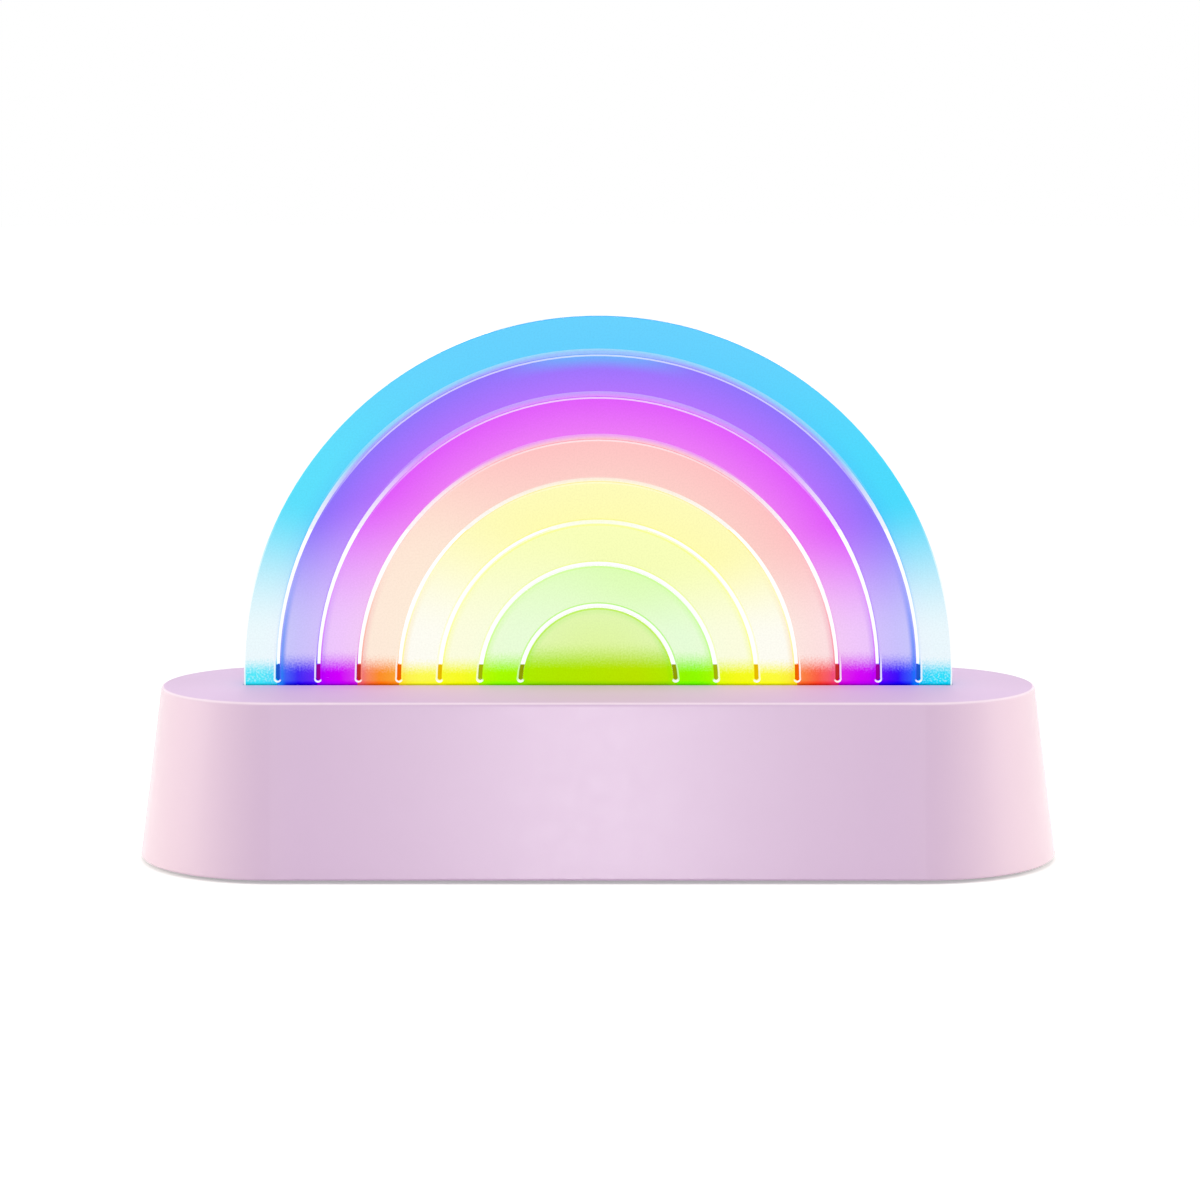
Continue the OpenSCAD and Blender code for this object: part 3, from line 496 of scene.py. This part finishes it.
def casing_plastic():
    """Lilac moulded plastic, with painted rim light that makes it paler and pinker towards its round
    ends, and a painted highlight that makes it paler along the edge of its top. Its sides are satin
    and its top is matt."""
    look = moulded("casing", srgb(213, 183, 217), CASING_SATIN, 0.30 * MM, 0.002 * MM, 0.007)
    x, _, z = look.split(look.place)
    body = look.shader.inputs["Base Color"].links[0].from_socket
    # Painted rim light: the round ends paler and pinker, below the top
    ends = look.times(look.ease(look.math("ABSOLUTE", x), *CASING_RIM_LIGHT_X),
                      look.ease(z, *CASING_RIM_LIGHT_Z))
    body = look.mix(ends, body, srgb(242, 219, 220))
    # A painted highlight along the rounded edge of the top
    ridge_highlight = look.times(look.ease(z, *CASING_RIDGE_HIGHLIGHT_LOW), look.ease(z, *CASING_RIDGE_HIGHLIGHT_HIGH))
    look.shade("Base Color", look.mix(ridge_highlight, body, srgb(244, 228, 238)))
    cloud = look.ease(look.noise(ROUGHNESS_CLOUD), NOISE_LOW, NOISE_HIGH, -0.01, 0.01)
    look.shade("Roughness", look.math("ADD", look.ease(z, *CASING_FINISH), cloud))
    return look


def brushed_metal(name, colour, roughness):
    """Plated steel with faint drawn lines."""
    look = Look(name, roughness, metallic=1.0)
    lines = look.noise(0.25 * MM, stretch=(1, 1, 12))
    look.shade("Base Color", look.mix(lines, scaled(colour, 0.85), colour))
    look.shade("Roughness", look.ease(lines, 0.2, 0.8, roughness - 0.08, roughness + 0.1))
    look.bump(lines, 0.01 * MM)
    return look


def circuit_board():
    """Green solder mask over faint straight tracks."""
    look = Look("circuit_board", 0.35)
    cell = 2.4 * MM
    track_pitch, gap, track = 0.12, 0.08, 0.1
    mapped = look.add("ShaderNodeMapping", {"Vector": look.place, "Scale": [1 / cell] * 3})
    distance = look.add("ShaderNodeTexVoronoi", {"Vector": mapped.outputs[0], "Scale": 1.0},
                        distance="CHEBYCHEV", feature="F1").outputs["Distance"]
    line = look.ease(look.math("PINGPONG", distance, track_pitch), gap, track)
    look.shade("Base Color", look.mix(line, srgb(18, 92, 56), srgb(42, 128, 84)))
    look.bump(line, 0.03 * MM)
    return look


def diode_package():
    """White package with a warm resin window in its top."""
    look = Look("diode", 0.4)
    z = look.split(look.place)[2]
    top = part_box("led_packages")[1].z
    window_top = (top - 0.5 * MM, top - 0.3 * MM, 1.0, 0.0)
    window_bottom = (top - 0.6 * MM, top - 0.5 * MM)
    window = look.times(look.ease(z, *window_top), look.ease(z, *window_bottom))
    grain = look.noise(0.4 * MM)
    white = look.mix(grain, srgb(226, 226, 220), srgb(244, 244, 240))
    look.shade("Base Color", look.mix(window, white, srgb(246, 226, 130)))
    look.bump(grain, 0.01 * MM)
    return look


def inlet_contacts():
    """Black insulator, whose tongue carries a row of gilt contacts."""
    look = Look("inlet_insulator", 0.45)
    x, y, _ = look.split(look.place)
    low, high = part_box("usb_insulator")
    start, end = low.y + 2.2 * MM, high.y - 0.7 * MM
    pitch = 0.5 * MM
    row_end = 3 * MM
    # Whole pitches are added to x, so that it isn't negative
    across = look.math("PINGPONG", look.math("ADD", x, 40 * pitch), pitch / 2)
    row = look.times(look.over(across, pitch / 4), look.under(look.math("ABSOLUTE", x), row_end))
    gilt = look.times(row, look.times(look.over(y, start), look.under(y, end)))
    black = look.mix(look.noise(0.6 * MM), srgb(24, 24, 26), srgb(40, 40, 43))
    look.shade("Base Color", look.mix(gilt, black, srgb(226, 184, 96)))
    look.shade("Metallic", gilt)
    look.shade("Roughness", look.ease(gilt, 0.0, 1.0, 0.45, 0.25))
    return look


def shrink_sleeve():
    """The battery's glossy sleeve, with a pale band at its end."""
    look = Look("cell_sleeve", 0.22)
    x = look.split(look.place)[0]
    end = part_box("battery_cell")[1].x
    band_start, band_full = end - 7 * MM, end - 6.6 * MM
    band = look.ease(x, band_start, band_full)
    wrinkle = look.noise(4 * MM, stretch=(0.4, 1, 1))
    blue = look.mix(wrinkle, srgb(38, 84, 168), srgb(58, 110, 196))
    look.shade("Base Color", look.mix(band, blue, srgb(225, 227, 230)))
    look.bump(wrinkle, 0.08 * MM)
    return look


def pale_floor():
    """A pale floor that takes the object's shadow, and runs out into plain white further off."""
    look = Look("floor", 0.9, specular=0.1)
    path = look.add("ShaderNodeLightPath").outputs
    seen = look.math("MAXIMUM", path["Is Camera Ray"], path["Is Glossy Ray"])
    distance = look.add("ShaderNodeVectorMath", {0: look.place}, operation="LENGTH").outputs["Value"]
    far = look.times(seen, look.ease(distance, FLOOR_SHADOW_R, FLOOR_WHITE_R))
    near_colour = look.mix(look.noise(60 * MM), *map(grey, FLOOR_GREYS))
    look.shade("Base Color", look.mix(far, near_colour, BLACK))
    look.shade("Emission Color", WHITE)
    lift = look.ease(distance, FLOOR_SHADOW_R, FLOOR_WHITE_R, FLOOR_LIFT, 1.0)
    look.shade("Emission Strength", look.times(seen, lift))
    return look


def lay_floor():
    """A wide round floor under the object."""
    mesh = bpy.data.meshes.new("floor")
    shape = bmesh.new()
    bmesh.ops.create_circle(shape, cap_ends=True, segments=FLOOR_SIDES, radius=FLOOR_R)
    shape.to_mesh(mesh)
    shape.free()
    mesh.materials.append(pale_floor().material)
    floor = bpy.data.objects.new("floor", mesh)
    bpy.context.scene.collection.objects.link(floor)


def hang_lamp(name, lamp):
    """A rectangular lamp that faces its target."""
    light = bpy.data.lights.new(name, "AREA")
    light.shape = "RECTANGLE"
    light.size = lamp.width
    light.size_y = lamp.height
    light.energy = lamp.power
    light.color = lamp.colour
    box = bpy.data.objects.new(name, light)
    box.location = lamp.place
    towards = Vector(lamp.target) - Vector(lamp.place)
    box.rotation_euler = towards.to_track_quat("-Z", "Y").to_euler()
    box.visible_camera = False
    box.visible_glossy = lamp.mirrored
    bpy.context.scene.collection.objects.link(box)


def light_world():
    """White behind everything that is seen, and a softer grey as the room's fill light."""
    world = bpy.data.worlds.new("studio")
    world.use_nodes = True
    nodes = Nodes(world.node_tree)
    path = nodes.add("ShaderNodeLightPath").outputs
    mirrored = nodes.math("MAXIMUM", path["Is Glossy Ray"], path["Is Transmission Ray"])
    seen = nodes.math("MAXIMUM", path["Is Camera Ray"], mirrored)
    level = nodes.add("ShaderNodeMapRange", {0: seen, 3: FILL_LEVEL, 4: 1.0}).outputs[0]
    background = nodes.tree.nodes["Background"].inputs
    nodes.feed(background["Strength"], level)
    nodes.feed(background["Color"], WHITE)
    bpy.context.scene.world = world


def place_camera():
    """The photograph's view, from in front and a little above the arch."""
    lens = bpy.data.cameras.new("camera")
    lens.sensor_width = CAMERA_SENSOR
    lens.lens = CAMERA_LENS
    camera = bpy.data.objects.new("camera", lens)
    camera.location = CAMERA_PLACE
    camera.rotation_euler = (math.radians(90 - CAMERA_DOWN), 0, 0)
    bpy.context.scene.collection.objects.link(camera)
    bpy.context.scene.camera = camera


def dress(look, *names):
    """Gives these CAD nodes that look in each of their material slots."""
    for name in names:
        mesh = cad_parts[name].data
        if not mesh.materials:
            mesh.materials.append(look.material)
        for index in range(len(mesh.materials)):
            mesh.materials[index] = look.material


place_camera()
lay_floor()
light_world()
for lamp_name, lamp_facts in LAMPS.items():
    hang_lamp(lamp_name, lamp_facts)

dress(rainbow_acrylic(), "rainbow_panel")
dress(casing_plastic(), "base_shell", "base_cover")
dress(moulded("buttons", srgb(232, 212, 230), 0.36, 0.25 * MM, 0.005 * MM),
      "power_button", "mode_button")
dress(moulded("rubber", srgb(120, 114, 120), 0.8, 0.2 * MM, 0.03 * MM), "rubber_feet")
dress(moulded("white_plastic", srgb(236, 236, 234), 0.4, 0.3 * MM, 0.006 * MM),
      "panel_clamp_front", "panel_clamp_rear", "light_baffle", "power_plunger", "mode_plunger",
      "lead_sockets", "lead_plugs", "battery_strap")
dress(moulded("black_plastic", srgb(38, 38, 41), 0.5, 0.3 * MM, 0.01 * MM, 0.15),
      "controller_chip", "charger_chip", "power_inductor", "filter_capacitor", "board_resistors",
      "switch_bodies")
dress(moulded("wire", srgb(150, 26, 28), 0.45, 0.6 * MM, 0.01 * MM, 0.1),
      "led_lead", "battery_lead")
dress(brushed_metal("steel", srgb(206, 208, 212), 0.32),
      "base_screws", "clamp_screws", "led_board_screws", "control_board_screws", "strap_screws",
      "usb_socket")
dress(circuit_board(), "led_board", "control_board")
dress(diode_package(), "led_packages")
dress(inlet_contacts(), "usb_insulator")
dress(shrink_sleeve(), "battery_cell")

bpy.context.scene.view_settings.view_transform = "Standard"
